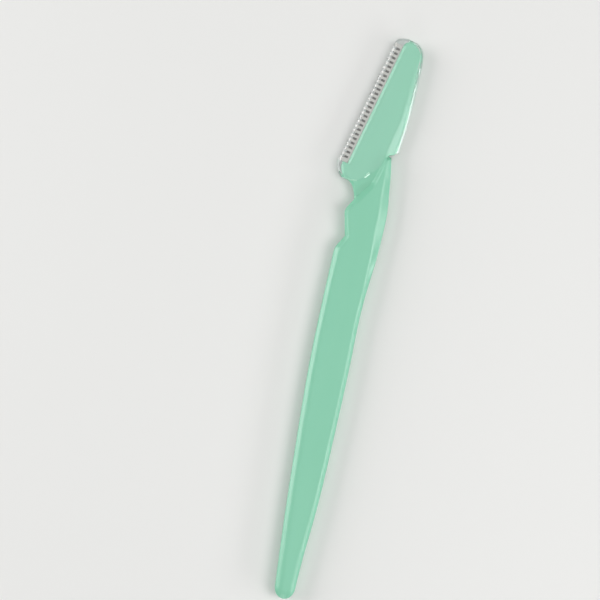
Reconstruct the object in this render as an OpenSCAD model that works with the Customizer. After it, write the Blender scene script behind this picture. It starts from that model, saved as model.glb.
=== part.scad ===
// Eyebrow razor: a moulded handle with a thin head, a steel blade behind a slotted guard, and a clear cover.
// It lies on its back: +Z is its front, +X runs to the tail and the blade faces -Y. Sizes are in millimetres.

/* [Grip] */
// Length of the grip from the tail to the root of the neck
grip_l = 94.5; // [80:0.5:110]
// Width of the grip where it is widest, at the root of the neck
grip_w = 11.75; // [10:0.25:13.5]
// Thickness of the grip and the neck
grip_t = 4.4; // [4:0.1:5.5]
// Width of the tail where its rounded end begins
tail_w = 5.5; // [4.5:0.25:6.5]
// Length of the rounded end of the tail
tail_l = 3.2; // [2.5:0.1:4]
// Width of the sloped band along the blade side
blade_band_w = 1.2; // [0.8:0.05:1.4]
// Width of the sloped band along the spine of the grip
spine_band_w = 0.8; // [0.5:0.05:1]
// Depth of the sloped bands, measured from either face
band_d = 1.05; // [0.7:0.05:1.3]

/* [Neck] */
// Length of the neck from its root to the tip of its shoulder
neck_l = 27.8; // [25:0.2:31]
// Depth of the scoop in the side of the neck
scoop_d = 0.95; // [0.5:0.05:1.2]
// Depth of the hollow at the foot of the shoulder
hollow_d = 0.5; // [0.2:0.05:0.6]

/* [Head] */
// Thickness of the head, which the cover goes over
head_t = 2.3; // [2:0.1:2.8]
// Width of the head from the cutting edge to its spine, half way along the blade
head_w = 10.7; // [9.5:0.1:11.5]
// How far past the root of the neck the lower end of the cutting edge lies
edge_rise = 24.4; // [23.4:0.1:25.4]
// How far out from the middle line the lower end of the cutting edge lies
edge_out = 9.1; // [8.6:0.1:9.6]
// Lean of the cutting edge from the line of the grip, in degrees
edge_lean = 13.75; // [12:0.25:15]
// Width of steel that shows at the tip of the head
steel_tip_w = 1.9; // [1.7:0.05:2.1]
// Width of steel that shows at the heel of the head
steel_heel_w = 2; // [1.8:0.05:2.2]
// Width of the sloped lip beside the steel
lip_w = 0.85; // [0.6:0.05:1]
// Depth of the sloped lip
lip_d = 0.45; // [0.2:0.05:0.6]
// Greatest width of the bevel along the spine of the head, which it has at the heel
bevel_w = 2.4; // [1.6:0.1:2.8]
// Greatest depth of that bevel
bevel_d = 0.7; // [0.4:0.05:0.8]

/* [Blade] */
// Length of the blade and of the guard
blade_l = 35; // [32:0.2:37]
// Width of the blade from its edge to its back
blade_w = 4.5; // [4.4:0.1:4.9]
// Thickness of the blade
blade_t = 0.25; // [0.15:0.05:0.3]
// Width of the ground slope at the cutting edge
ground_w = 0.7; // [0.4:0.1:1]
// Thickness that is left at the cutting edge
keen_t = 0.02; // [0.01:0.01:0.04]
// Radius of the two pegs that hold the blade
peg_r = 0.6; // [0.5:0.05:0.6]

/* [Guard] */
// Thickness of the guard's foil
foil_t = 0.12; // [0.08:0.01:0.15]
// How far the fold of the guard stands out past the cutting edge
guard_out = 0.4; // [0.35:0.05:0.5]
// Width of each side of the guard from its fold to its free edge
guard_w = 3.2; // [3:0.1:3.3]
// Distance from one slot of the guard to the next
slot_pitch = 1.34; // [1.2:0.01:1.5]
// Width of a slot
slot_w = 0.62; // [0.4:0.02:0.7]
// Depth of a slot from the fold
slot_d = 1.45; // [1.2:0.05:1.6]
// Plain length of the guard at either end
guard_end_l = 0.7; // [0.5:0.1:1.5]

/* [Cover] */
// Thickness of the cover's wall
cover_wall = 0.45; // [0.4:0.05:0.6]
// Clearance between the cover and the head
cover_gap = 0.2; // [0.15:0.01:0.3]
// Extra room inside the cover along the spine of the head
cover_room = 0.3; // [0.2:0.05:0.6]
// Clearance between the mouth of the cover and the shoulder of the neck
mouth_gap = 0.3; // [0.2:0.05:0.6]
// Width of the rounding along the cover's edges
cover_round_w = 0.75; // [0.4:0.05:0.9]
// Depth of the rounding along the cover's edges
cover_round_d = 0.8; // [0.4:0.05:0.9]

/* [Fits] */
// Play on each side of the steel pieces in their slots
steel_play = 0.03; // [0.02:0.01:0.05]

/* [Hidden] */

$fn = 48;
mint = [0.55, 0.82, 0.70];
steel = [0.66, 0.66, 0.65];
clear = [0.86, 0.93, 0.93, 0.35];

// Overrun of a cut past the surface that it opens
past = 0.2;
// Steps between two neighbouring points of a long, a middling and a short curve
long_steps = 6;
mid_steps = 3;
short_steps = 2;
// Steps round the end of the tail, and the direction of the first one
tail_steps = 8;
tail_start = 12;
// Shift of the tail's middle from the middle line, as a share of its width
tail_mid_share = -0.045;

// Points on the two sides of the grip, as shares of its length and width
grip_blade_shares = [[0.127, -0.313], [0.317, -0.413], [0.635, -0.536], [0.847, -0.549], [1, -0.532]];
grip_spine_shares = [[0.127, 0.243], [0.317, 0.336], [0.635, 0.379], [0.847, 0.376], [1, 0.468]];

// Points round the neck, as shares of its length from its root and of the grip's width.
// The blade side hooks in to the foot of the scoop, swells out again and hooks in to the notch.
hook_shares = [[0, -0.532], [0.045, -0.518], [0.097, -0.455], [0.172, -0.352]];
swell_shares = [[0.172, -0.352], [0.243, -0.395], [0.34, -0.445], [0.408, -0.48]];
notch_shares = [[0.408, -0.48], [0.453, -0.44], [0.536, -0.32]];
shoulder_shares = [[0.536, -0.32], [0.63, -0.14], [0.727, 0.005], [0.838, 0.085], [0.982, 0.187]];
neck_spine_shares = [[0, 0.468], [0.234, 0.489], [0.471, 0.489], [0.712, 0.423], [0.845, 0.383], [1, 0.319]];

// Band widths along the handle, as shares of the band's own width at shares of the handle's length
blade_band_shares = [[0, 0.85], [0.05, 1], [0.9, 1.05], [0.96, 0.8], [1, 0.35]];
spine_band_shares = [[0, 1.2], [0.05, 1], [0.7, 1], [0.77, 2.1], [0.83, 2.9], [0.91, 2.8],
    [0.97, 1.6], [1, 0.6]];

// Corners of the scoop on the face and its lowest point, as shares of the neck's length and the grip's width
scoop_crest_shares = [0.115, -0.5];
scoop_fade_shares = [0.31, 0.01];
scoop_end_shares = [0.437, -0.574];
scoop_foot_shares = [0.2, -0.56];

// The same of the hollow beside the shoulder, whose lowest point lies just under it
hollow_crest_shares = [0.42, -0.3];
hollow_fade_shares = [0.86, 0.2];
hollow_end_shares = [0.6, -0.4];
hollow_foot_shares = [0.5, -0.26];

// Points round the head, as shares of the blade's length from its tip and of the head's width from the edge
head_root_shares = [[1.24, 0.76], [1.228, 0.692], [1.188, 0.626], [1.145, 0.523], [1.12, 0.416],
    [1.108, 0.299]];
heel_shares = [[1.108, 0.299], [1.107, 0.224], [1.095, 0.159], [1.075, 0.103], [1.04, 0.047], [1.004, 0.019]];
tip_shares = [[-0.012, 0.145], [-0.034, 0.187], [-0.045, 0.28], [-0.041, 0.41], [-0.024, 0.53], [0.008, 0.62],
    [0.05, 0.672]];
spine_shares = [[0.05, 0.672], [0.187, 0.778], [0.367, 0.914], [0.512, 1.012], [0.63, 1.07], [0.715, 1.112],
    [0.78, 1.137]];
// The spine ends in a sharp step beside the neck
step_shares = [[0.787, 1.12], [0.8, 1.05], [0.81, 1.01]];
root_in_shares = [[0.9, 1.12], [1.1, 1.17], [1.222, 0.9]];

// Width and depth of the bevel along the spine, as shares of the greatest ones at shares of the blade's run
bevel_width_shares = [[-0.03, 0.12], [0.05, 0.42], [0.4, 0.48], [0.55, 0.55], [0.7, 0.9], [0.78, 1]];
bevel_depth_shares = [[-0.03, 0.06], [0.05, 0.25], [0.4, 0.45], [0.55, 0.7], [0.7, 0.95], [0.78, 1]];
// Point past the step that the bevel runs on to
bevel_end_shares = [0.83, 1.156];

// Places of the two pegs along the blade, as shares of its length
peg_shares = [0.25, 0.75];

// Points inside the cover on the spine side, from its open end to its tip, as shares of the blade's length
// and of the head's width
cover_spine_shares = [[1.17, 1.33], [0.95, 1.225], [0.77, 1.135], [0.6, 1.065], [0.37, 0.924], [0.152, 0.761],
    [0.085, 0.71], [0.01, 0.624], [-0.026, 0.53], [-0.042, 0.425], [-0.045, 0.31]];
// Points inside the cover on the blade side, level with those
cover_blade_shares = [[1.17, 0], [0.95, 0], [0.77, 0], [0.6, 0], [0.37, 0], [0.152, 0],
    [0.085, 0], [0.01, 0], [-0.02, 0.045], [-0.037, 0.15], [-0.045, 0.26]];

// Where the mouth of the cover leaves its blade side, as a share of the blade's length
mouth_start_share = 1.024;
// Points along the mouth from there, round the heel of the head, in the same shares as the cover's
mouth_heel_shares = [[1.041, -0.07], [1.075, -0.009], [1.108, 0.086], [1.118, 0.188], [1.116, 0.3],
    [1.109, 0.43], [1.092, 0.581], [1.058, 0.702], [0.997, 0.796]];
// Stretch of the shoulder that the mouth then runs beside, as shares of the shoulder's run
mouth_beside_shares = [0.83, 1];
// Points from the end of that stretch to the spine side, counted from there, in the same shares as the heel's
mouth_end_shares = [[-0.04, 0], [-0.057, 0.08], [-0.075, 0.262], [-0.1, 0.576]];

// Point between b and c of a smooth curve that also passes a and d
function bend(a, b, c, d, t) = 0.5 * (2 * b + (c - a) * t + (2 * a - 5 * b + 4 * c - d) * t * t
    + (3 * b - a - 3 * c + d) * t * t * t);

// Smooth curve through the points of k, with n steps from each to the next, without its last point
function curve(k, n) = [for (i = [0 : len(k) - 2]) for (j = [0 : n - 1])
    bend(k[max(i - 1, 0)], k[i], k[i + 1], k[min(i + 2, len(k) - 1)], j / n)];

// Place on the same smooth curve at a share t of its whole run
function curve_at(k, t) = let (i = min(floor(t * (len(k) - 1)), len(k) - 2))
    bend(k[max(i - 1, 0)], k[i], k[i + 1], k[min(i + 2, len(k) - 1)], t * (len(k) - 1) - i);

// Shares as sizes, from a start s along the handle
function sized(shares, l, w, s = 0) = [for (p = shares) [s + p[0] * l, p[1] * w]];

function unit(v) = v / norm(v);
function last(k) = k[len(k) - 1];
function reversed(k) = [for (i = [len(k) - 1 : -1 : 0]) k[i]];

// Direction square to a line of points at point i, to its right where turn is 1 and to its left where it's -1
function square_to(k, i, turn) = let (v = unit(k[min(i + 1, len(k) - 1)] - k[max(i - 1, 0)]))
    turn * [v[1], -v[0]];

// A line of points moved sideways by w
function moved(k, w, turn) = [for (i = [0 : len(k) - 1]) k[i] + w * square_to(k, i, turn)];

// The handle is laid out by the distance from its tail and the distance from its middle line to the spine.
tail_mid = tail_mid_share * tail_w;
function tail_end(side) = [for (i = [0 : tail_steps - 1])
    let (a = tail_start + (90 - tail_start) * i / tail_steps)
    [tail_l * (1 - cos(a)), tail_mid + side * tail_w / 2 * sin(a)]];

grip_blade = concat([[tail_l, tail_mid - tail_w / 2]], sized(grip_blade_shares, grip_l, grip_w));
grip_spine = concat([[tail_l, tail_mid + tail_w / 2]], sized(grip_spine_shares, grip_l, grip_w));
shoulder_points = sized(shoulder_shares, neck_l, grip_w, grip_l);
neck_blade = concat(
    curve(sized(hook_shares, neck_l, grip_w, grip_l), short_steps),
    curve(sized(swell_shares, neck_l, grip_w, grip_l), short_steps),
    curve(sized(notch_shares, neck_l, grip_w, grip_l), short_steps),
    curve(shoulder_points, mid_steps),
    [last(shoulder_points)]);
neck_spine_points = sized(neck_spine_shares, neck_l, grip_w, grip_l);
neck_spine = [for (i = [0 : len(neck_blade) - 1]) curve_at(neck_spine_points, i / (len(neck_blade) - 1))];
blade_side = concat(tail_end(-1), curve(grip_blade, long_steps), neck_blade);
spine_side = concat(tail_end(1), curve(grip_spine, long_steps), neck_spine);
handle_l = grip_l + neck_l;

// The edge frame starts at the tip end of the cutting edge, and its X runs down the edge to the heel.
tip_s = grip_l + edge_rise + blade_l * cos(edge_lean);
tip_c = blade_l * sin(edge_lean) - edge_out;
function from_edge(p) = [tip_s - p[0] * cos(edge_lean) - p[1] * sin(edge_lean),
    tip_c - p[0] * sin(edge_lean) + p[1] * cos(edge_lean)];
function to_edge(p) = let (v = [tip_s - p[0], tip_c - p[1]])
    [v[0] * cos(edge_lean) + v[1] * sin(edge_lean), v[0] * sin(edge_lean) - v[1] * cos(edge_lean)];

// The inside of the cover, from its open end to its tip
function cover_inside(shares, shift) = let (k = [for (p = sized(shares, blade_l, head_w)) p + shift])
    concat(curve(k, mid_steps), [last(k)]);
inside_blade = cover_inside(cover_blade_shares, [-cover_gap, -cover_gap - guard_out]);
inside_spine = cover_inside(cover_spine_shares, [-cover_gap, cover_room]);
outside_blade = moved(inside_blade, cover_wall, -1);
outside_spine = moved(inside_spine, cover_wall, 1);
cover_t = head_t + 2 * (cover_gap + cover_wall);

// The mouth of the cover, which goes round the heel, runs beside the shoulder and crosses to the spine side
mouth_start = [mouth_start_share * blade_l, outside_blade[0][1]];
mouth_beside = [for (t = mouth_beside_shares) to_edge(curve_at(shoulder_points, t) - [0, mouth_gap])];
mouth_line = concat(
    curve(concat([mouth_start], sized(mouth_heel_shares, blade_l, head_w), mouth_beside), mid_steps),
    [last(mouth_beside)],
    [for (p = sized(mouth_end_shares, blade_l, head_w)) last(mouth_beside) + p]);

// All that lies beyond the mouth, to well past the cover on every side
mouth_low = min([for (p = concat(outside_blade, mouth_line)) p[1]]) - past;
mouth_high = max([for (p = concat(outside_spine, mouth_line)) p[1]]) + past;
mouth_far = max([for (p = concat(outside_blade, outside_spine, mouth_line)) p[0]]) + past;
beyond_mouth = concat([[mouth_start[0], mouth_low]], mouth_line, [[last(mouth_line)[0], mouth_high],
    [mouth_far, mouth_high], [mouth_far, mouth_low]]);

// Middle of the part as it lies, from its outermost points
outline = concat(blade_side, spine_side,
    [for (p = concat(outside_blade, outside_spine)) if (p[0] < mouth_start[0]) from_edge(p)],
    [from_edge(mouth_start)]);
mid_s = (max([for (p = outline) p[0]]) + min([for (p = outline) p[0]])) / 2;
mid_c = (max([for (p = outline) p[1]]) + min([for (p = outline) p[1]])) / 2;
function placed(p) = [mid_s - p[0], p[1] - mid_c];

// Place of a point that is given as shares of the neck's length and the grip's width
function on_neck(p) = placed([grip_l + p[0] * neck_l, p[1] * grip_w]);

// Puts what is drawn in the edge frame at the cutting edge, half way up the thickness
module on_edge() {
    translate([mid_s - tip_s, tip_c - mid_c, grip_t / 2])
        rotate([0, 0, -edge_lean])
            children();
}

// One ring of a lofted solid, up the blade side and down the spine side.
// The rounding runs in n steps over the width w and the depth d.
function ring(l, r, in_l, in_r, t, d, n) = concat(
    [for (k = [n : -1 : 0]) let (a = 90 * k / n) concat(l + in_l * (1 - cos(a)), [d * (1 - sin(a))])],
    [for (k = [0 : n]) let (a = 90 * k / n) concat(l + in_l * (1 - cos(a)), [t - d * (1 - sin(a))])],
    [for (k = [n : -1 : 0]) let (a = 90 * k / n) concat(r + in_r * (1 - cos(a)), [t - d * (1 - sin(a))])],
    [for (k = [0 : n]) let (a = 90 * k / n) concat(r + in_r * (1 - cos(a)), [d * (1 - sin(a))])]);

// A solid between two lines of points that run towards -X, with its blade side and spine side eased by
// the widths given for each point, over the depth d and in n steps
module lofted(left, right, left_w, right_w, t, d, n) {
    m = 4 * (n + 1);
    rows = len(left);
    points = [for (i = [0 : rows - 1]) each ring(left[i], right[i],
        left_w[i] * square_to(left, i, 1), right_w[i] * square_to(right, i, -1), t, d, n)];
    walls = [for (i = [0 : rows - 2]) for (j = [0 : m - 1])
        let (a = i * m + j, b = i * m + (j + 1) % m, c = b + m, e = a + m) each [[a, e, c], [a, c, b]]];
    start = [for (j = [0 : m / 2 - 2]) each [[j, j + 1, m - 2 - j], [j, m - 2 - j, m - 1 - j]]];
    base = (rows - 1) * m;
    end = [for (f = start) [base + f[2], base + f[1], base + f[0]]];
    polyhedron(points = points, faces = concat(start, walls, end));
}

// A three-sided cut whose crest, fade and end corners lie on a face at height z, and whose foot lies d below.
// It is drawn past the face by keeping its slopes.
module facet_cut(crest, fade, end, foot, z, d) {
    reach = (d + past) / d;
    low = on_neck(foot);
    corners = concat([concat(low, [z - d])],
        [for (p = [crest, fade, end]) concat(low + (on_neck(p) - low) * reach, [z + past])]);
    polyhedron(points = corners, faces = [[0, 1, 2], [0, 2, 3], [0, 3, 1], [1, 3, 2]]);
}

// Draws its children on the front and, turned over, on the back
module both_faces() {
    children();
    translate([0, 0, grip_t])
        mirror([0, 0, 1])
            children();
}

// The thick part of the handle, with its sloped bands and scoops
module grip_and_neck() {
    difference() {
        lofted([for (p = blade_side) placed(p)], [for (p = spine_side) placed(p)],
            [for (p = blade_side) blade_band_w * lookup(p[0] / handle_l, blade_band_shares)],
            [for (p = spine_side) spine_band_w * lookup(p[0] / handle_l, spine_band_shares)],
            grip_t, band_d, 1);
        both_faces()
            facet_cut(scoop_crest_shares, scoop_fade_shares, scoop_end_shares, scoop_foot_shares,
                grip_t, scoop_d);
    }
}

// Distance from the cutting edge to the plastic at the tip and at the heel
plastic_tip = steel_tip_w - guard_out;
plastic_heel = steel_heel_w - guard_out;

// Outline of the head in the edge frame
head_spine_points = sized(spine_shares, blade_l, head_w);
head_spine = concat(curve(head_spine_points, mid_steps), [last(head_spine_points)]);
head_outline = concat(
    curve(sized(head_root_shares, blade_l, head_w), short_steps),
    curve(sized(heel_shares, blade_l, head_w), short_steps),
    [[blade_l + steel_play, last(heel_shares)[1] * head_w], [blade_l + steel_play, plastic_heel],
        [-steel_play, plastic_tip]],
    curve(sized(tip_shares, blade_l, head_w), short_steps),
    head_spine,
    sized(step_shares, blade_l, head_w),
    sized(root_in_shares, blade_l, head_w));

// The bevel, cut along the spine of the head from its tip to past its step
module bevel_cut() {
    line = concat(sized([tip_shares[4], tip_shares[5]], blade_l, head_w), head_spine,
        sized([bevel_end_shares], blade_l, head_w));
    slope_cut(line, [for (p = line) bevel_w * lookup(p[0] / blade_l, bevel_width_shares)],
        [for (p = line) bevel_d * lookup(p[0] / blade_l, bevel_depth_shares)], head_t / 2);
}

// A cut along a line of points, on the line's right. It lies d below a face at height z along the line,
// and rises to the face over the width w, with one d and one w for each point.
module slope_cut(line, w, d, z) {
    rows = len(line);
    points = [for (i = [0 : rows - 1])
        let (in = square_to(line, i, 1), out = line[i] - past * in,
            top = line[i] + w[i] * (1 + past / d[i]) * in)
        each [concat(out, [z - d[i] * (1 + past / w[i])]), concat(out, [z + past]), concat(top, [z + past])]];
    walls = [for (i = [0 : rows - 2]) for (j = [0 : 2])
        let (a = i * 3 + j, b = i * 3 + (j + 1) % 3, c = b + 3, e = a + 3) each [[a, e, c], [a, c, b]]];
    base = (rows - 1) * 3;
    polyhedron(points = points, faces = concat([[0, 1, 2]], walls, [[base + 2, base + 1, base]]));
}

// The sloped lip beside the steel, cut along the head's edge
module lip_cut() {
    lean = atan2(plastic_heel - plastic_tip, blade_l);
    run = blade_l + 2 * steel_play;
    translate([-steel_play, plastic_tip, head_t / 2])
        rotate([0, 0, lean])
            rotate([90, 0, 90])
                translate([0, 0, -past])
                    linear_extrude(run + past)
                        polygon([[-past, past], [-past, -lip_d * (1 + past / lip_w)],
                            [lip_w * (1 + past / lip_d), past]]);
}

// Room for the steel pieces: a wide slot for the guard, a narrow one for the blade, and two pegs across it
module steel_slots() {
    room_t = fold_t + 2 * steel_play;
    slit_t = blade_t + 2 * steel_play;
    translate([-steel_play, -past, -room_t / 2])
        cube([blade_l + 2 * steel_play, guard_w - guard_out + steel_play + past, room_t]);
    difference() {
        translate([-steel_play, 0, -slit_t / 2])
            cube([blade_l + 2 * steel_play, blade_w + steel_play, slit_t]);
        at_pegs()
            cylinder(h = room_t, r = peg_r, center = true);
    }
}

// The pegs stand behind the guard
module at_pegs() {
    for (share = peg_shares)
        translate([share * blade_l, (guard_w - guard_out + blade_w) / 2, 0])
            children();
}

// Thickness of the folded guard
fold_t = blade_t + 2 * steel_play + 2 * foil_t;

// The moulded handle: grip, neck and thin head in one piece
module handle() {
    color(mint)
        difference() {
            union() {
                grip_and_neck();
                difference() {
                    on_edge()
                        linear_extrude(head_t, center = true)
                            polygon(head_outline);
                    both_faces()
                        facet_cut(hollow_crest_shares, hollow_fade_shares, hollow_end_shares,
                            hollow_foot_shares, (grip_t + head_t) / 2, hollow_d);
                    on_edge() {
                        bevel_cut();
                        mirror([0, 0, 1])
                            bevel_cut();
                    }
                }
            }
            on_edge() {
                steel_slots();
                lip_cut();
                mirror([0, 0, 1])
                    lip_cut();
            }
        }
}

// The blade: a thin strip with a ground edge and two holes for the pegs
module blade() {
    color(steel)
        on_edge()
            difference() {
                rotate([90, 0, 90])
                    linear_extrude(blade_l)
                        polygon([[0, -keen_t / 2], [ground_w, -blade_t / 2], [blade_w, -blade_t / 2],
                            [blade_w, blade_t / 2], [ground_w, blade_t / 2], [0, keen_t / 2]]);
                at_pegs()
                    cylinder(h = blade_t + 2 * past, r = peg_r + steel_play, center = true);
            }
}

// The guard: thin foil folded over the cutting edge, with slots across the fold that let hairs through
module guard() {
    fold_r = fold_t / 2;
    count = floor((blade_l - 2 * guard_end_l - slot_w) / slot_pitch) + 1;
    first = (blade_l - (count - 1) * slot_pitch - slot_w) / 2;
    color(steel)
        on_edge()
            translate([0, -guard_out, 0])
                difference() {
                    union() {
                        translate([0, fold_r, 0])
                            rotate([0, 90, 0])
                                cylinder(h = blade_l, r = fold_r);
                        translate([0, fold_r, -fold_r])
                            cube([blade_l, guard_w - fold_r, fold_t]);
                    }
                    translate([-past, fold_r, 0])
                        rotate([0, 90, 0])
                            cylinder(h = blade_l + 2 * past, r = fold_r - foil_t);
                    translate([-past, fold_r, foil_t - fold_r])
                        cube([blade_l + 2 * past, guard_w, fold_t - 2 * foil_t]);
                    for (i = [0 : count - 1])
                        translate([first + i * slot_pitch, -past, -fold_t])
                            cube([slot_w, past + slot_d, 2 * fold_t]);
                }
}

// The clear cover: a thin shell with a closed tip, open where the head goes in
module cover() {
    room_t = head_t + 2 * cover_gap;
    color(clear)
        on_edge()
            difference() {
                translate([0, 0, -cover_t / 2])
                    lofted(outside_blade, outside_spine,
                        [for (p = outside_blade) cover_round_w], [for (p = outside_spine) cover_round_w],
                        cover_t, cover_round_d, mid_steps);
                linear_extrude(room_t, center = true)
                    polygon(concat(inside_blade, reversed(inside_spine)));
                linear_extrude(cover_t + 2 * past, center = true)
                    polygon(beyond_mouth);
            }
}

handle();
blade();
guard();
cover();
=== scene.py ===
"""An eyebrow razor in its clear cover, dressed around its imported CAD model."""

import math

import bmesh
import bpy
import numpy as np
from bpy.props import FloatProperty, FloatVectorProperty, PointerProperty
from mathutils import Matrix, Vector


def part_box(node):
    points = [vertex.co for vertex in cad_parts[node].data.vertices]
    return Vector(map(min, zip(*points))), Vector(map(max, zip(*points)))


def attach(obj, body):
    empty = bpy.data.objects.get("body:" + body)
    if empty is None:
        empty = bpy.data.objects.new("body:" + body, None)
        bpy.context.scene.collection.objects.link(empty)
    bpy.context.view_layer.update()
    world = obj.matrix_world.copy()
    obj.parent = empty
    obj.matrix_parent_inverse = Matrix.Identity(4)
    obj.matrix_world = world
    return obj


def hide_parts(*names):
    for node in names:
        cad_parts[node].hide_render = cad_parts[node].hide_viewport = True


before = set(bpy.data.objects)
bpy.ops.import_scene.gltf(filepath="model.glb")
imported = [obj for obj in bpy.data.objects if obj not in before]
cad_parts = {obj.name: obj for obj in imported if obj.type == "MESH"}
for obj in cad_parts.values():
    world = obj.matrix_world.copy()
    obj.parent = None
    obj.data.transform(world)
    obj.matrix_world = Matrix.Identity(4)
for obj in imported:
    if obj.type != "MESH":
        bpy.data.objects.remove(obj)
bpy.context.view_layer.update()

bl_info = {
    "name": "Eyebrow razor",
    "version": (1, 0, 0),
    "blender": (4, 5, 0),
    "location": "3D View > Sidebar > Razor",
    "description": "Makes a moulded eyebrow razor with a slotted steel guard and a clear cover",
    "category": "Add Mesh",
}

MM = 0.001

# The handle is laid out by two measures: along it from the tail, and across it from its middle line to the
# spine. Each table below holds points as shares of a length and of a width.
GRIP_BLADE_SHARES = ((0.127, -0.313), (0.317, -0.413), (0.635, -0.536), (0.847, -0.549), (1, -0.532))
GRIP_SPINE_SHARES = ((0.127, 0.243), (0.317, 0.336), (0.635, 0.379), (0.847, 0.376), (1, 0.468))
TAIL_MIDDLE_SHARE = -0.045

# Round the neck: shares of the neck's length from its root, and of the grip's width
HOOK_SHARES = ((0, -0.532), (0.045, -0.518), (0.097, -0.455), (0.172, -0.352))
SWELL_SHARES = ((0.172, -0.352), (0.243, -0.395), (0.34, -0.445), (0.408, -0.48))
NOTCH_SHARES = ((0.408, -0.48), (0.453, -0.44), (0.536, -0.32))
SHOULDER_SHARES = ((0.536, -0.32), (0.63, -0.14), (0.727, 0.005), (0.838, 0.085), (0.982, 0.187))
NECK_SPINE_SHARES = ((0, 0.468), (0.234, 0.489), (0.471, 0.489), (0.712, 0.423), (0.845, 0.383), (1, 0.319))

# Band widths, as shares of each band's own width at shares of the handle's length
BLADE_BAND_SHARES = ((0, 1.25), (0.3, 1.3), (0.6, 1.05), (0.8, 1.05), (0.82, 0.72), (0.86, 0.72),
                     (0.89, 1.05), (0.96, 0.8), (1, 0.35))
SPINE_BAND_SHARES = ((0, 1.3), (0.15, 1.15), (0.4, 1), (0.7, 1), (0.77, 2.1), (0.83, 2.9), (0.91, 2.8),
                     (0.97, 1.6), (1, 0.6))
END_BAND_SHARE = 0.35

# How much steeper than the bands the foot of the shoulder falls to the head
FOOT_STEEPNESS = 3

# Slope of the small bevels along the edges of the head's heel and of the cover, the share of their width
# that their steep outer edge takes, and where the heel's bevel begins and is full, as shares of the length
# of the steel
BEVEL_SLOPE = 0.75
BEVEL_BRINK = 0.1
HEEL_BEVEL_SHARES = (1, 1.03)

# Stretch near the root of the neck over which the crests sharpen, as shares of the grip's length
SOFT_TO_SHARES = (0.85, 1)

# Crest, fade, end and lowest point of the scoop and of the hollow beside the shoulder
SCOOP_SHARES = ((0.115, -0.5), (0.31, 0.01), (0.437, -0.574), (0.2, -0.56))
HOLLOW_SHARES = ((0.42, -0.3), (0.86, 0.2), (0.6, -0.4), (0.5, -0.26))

# Round the head: shares of the steel's length from its tip end, and of the head's width from the cutting edge
ROOT_SHARES = ((1.228, 0.692), (1.188, 0.626), (1.145, 0.523), (1.12, 0.416), (1.108, 0.299))
HEEL_SHARES = ((1.108, 0.299), (1.107, 0.224), (1.095, 0.159), (1.075, 0.103), (1.04, 0.047), (1.004, 0.019))
TIP_SHARES = ((-0.012, 0.145), (-0.034, 0.187), (-0.045, 0.28), (-0.041, 0.41), (-0.024, 0.53), (0.008, 0.62),
              (0.05, 0.672))
SPINE_SHARES = ((0.05, 0.672), (0.187, 0.778), (0.367, 0.914), (0.512, 1.012), (0.63, 1.07), (0.715, 1.112),
                (0.78, 1.137))
STEP_SHARES = ((0.787, 1.12), (0.8, 1.05), (0.81, 1.01), (0.9, 1.12))

# Width and depth of the bevel along the spine, as shares of the greatest ones at shares of the steel's
# length, the point of the tip that its outer line starts at, and where that line ends
BEVEL_WIDTH_SHARES = ((-0.03, 0.12), (0.05, 0.42), (0.4, 0.48), (0.55, 0.55), (0.7, 0.9), (0.78, 1))
BEVEL_DEPTH_SHARES = ((-0.03, 0.06), (0.05, 0.25), (0.4, 0.45), (0.55, 0.7), (0.7, 0.95), (0.78, 1))
BEVEL_START = 4
BEVEL_END_SHARES = (0.83, 1.156)

# Inside the cover, from its open end to its tip, in the head's shares
COVER_SPINE_SHARES = ((1.17, 1.33), (0.95, 1.225), (0.77, 1.135), (0.6, 1.065), (0.37, 0.924), (0.152, 0.761),
                      (0.085, 0.71), (0.01, 0.624), (-0.026, 0.53), (-0.042, 0.425), (-0.045, 0.31))
COVER_BLADE_SHARES = ((1.17, 0), (0.95, 0), (0.77, 0), (0.6, 0), (0.37, 0), (0.152, 0),
                      (0.085, 0), (0.01, 0), (-0.02, 0.045), (-0.037, 0.15), (-0.045, 0.26))
MOUTH_START_SHARE = 1.024
MOUTH_HEEL_SHARES = ((1.041, -0.07), (1.075, -0.009), (1.108, 0.086), (1.118, 0.188), (1.116, 0.3),
                     (1.109, 0.43), (1.092, 0.581), (1.058, 0.702), (0.997, 0.796))
MOUTH_BESIDE_SHARES = (0.83, 1)
MOUTH_END_SHARES = ((-0.04, 0), (-0.057, 0.08), (-0.075, 0.262), (-0.1, 0.576))

# Fineness of the meshes: steps along a curve, rows and columns, and how far the ones near an edge lie from it
CURVE_STEPS = 16
TAIL_ROWS = 14
TIP_ROWS = 16
FIRST_ANGLE = math.radians(7)
CAD_FIRST_ANGLE = math.radians(12)
GRIP_ROW = 1.0 * MM
NECK_ROW = 0.22 * MM
HEAD_ROW = 0.4 * MM
MIDDLE_COLUMNS = 64
BLADE_RIM = np.array((0, 0.04, 0.1, 0.18, 0.28, 0.45, 0.65, 0.85)) * MM
SPINE_RIM = np.array((0, 0.04, 0.1, 0.18, 0.28)) * MM
MOST_RIM_SHARE = 0.3
STEP_WIDTH = 0.08 * MM
COVER_RIM = np.array((0, 0.03, 0.08, 0.18, 0.32, 0.48, 0.63, 0.72, 0.85)) * MM
COVER_COLUMNS = 84
COVER_LIP_ROWS = np.array((0, 0.04, 0.08, 0.18, 0.32, 0.46, 0.6, 0.75, 0.95)) * MM
COVER_TIP_ROWS = np.array((0, 0.01, 0.04, 0.1, 0.18, 0.28, 0.4, 0.56, 0.75, 1, 1.3, 1.7, 2.2, 2.8, 3.5)) * MM
COVER_ROW = 0.8 * MM

# The angle from which an edge is shaded as a sharp one
SHARP_ANGLE = math.radians(38)

# How many points are measured at a time, the least square of a step and the least rise that count, and the
# slack when two places are compared
CHUNK = 2000
LEAST_SQUARE = 1e-18
LEAST_RISE = 1e-12
SLACK = 1e-9


def length(name, description, millimetres):
    """A property that holds a length, with its default given in millimetres."""
    return FloatProperty(name=name, description=description, default=millimetres * MM, min=0, unit="LENGTH")


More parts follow.
